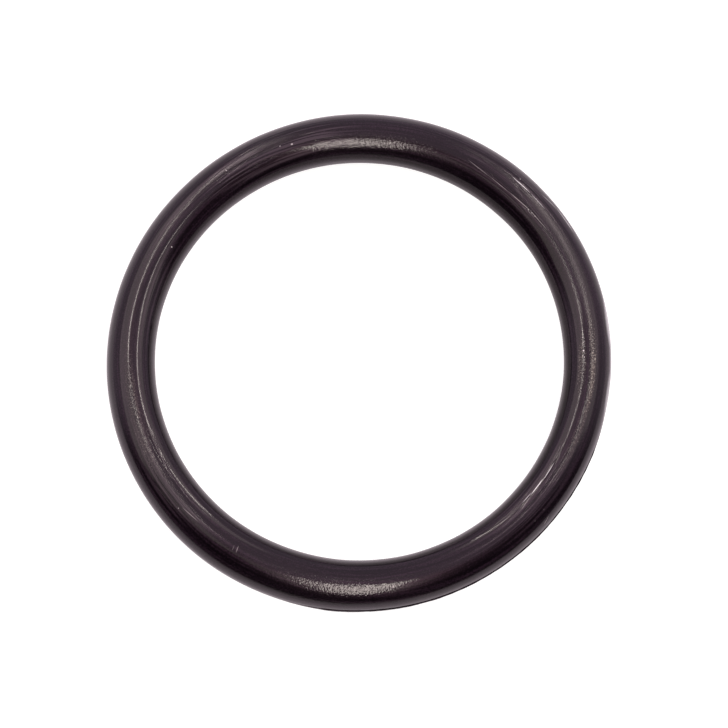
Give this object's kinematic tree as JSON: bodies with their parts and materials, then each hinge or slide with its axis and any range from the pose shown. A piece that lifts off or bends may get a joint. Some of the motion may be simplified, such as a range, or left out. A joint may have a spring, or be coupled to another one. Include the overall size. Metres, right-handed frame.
{
  "type": "o-ring",
  "caption": "Round-section rubber sealing ring with fine trimmed parting-line lands round its inside and outside.",
  "frame": {"origin": "centre of the ring, on its axis and in the parting plane halfway up the section", "axes": "+Z along the ring's axis; X and Y lie in the parting plane"},
  "size_m": [0.0372, 0.0372, 0.0036],
  "materials": {
    "nitrile_rubber": "semi-gloss moulded black rubber with a faint brown-purple tint, fine grain and flow streaks"
  },
  "bodies": {
    "root": {"o_ring": "nitrile_rubber"}
  },
  "joints": []
}
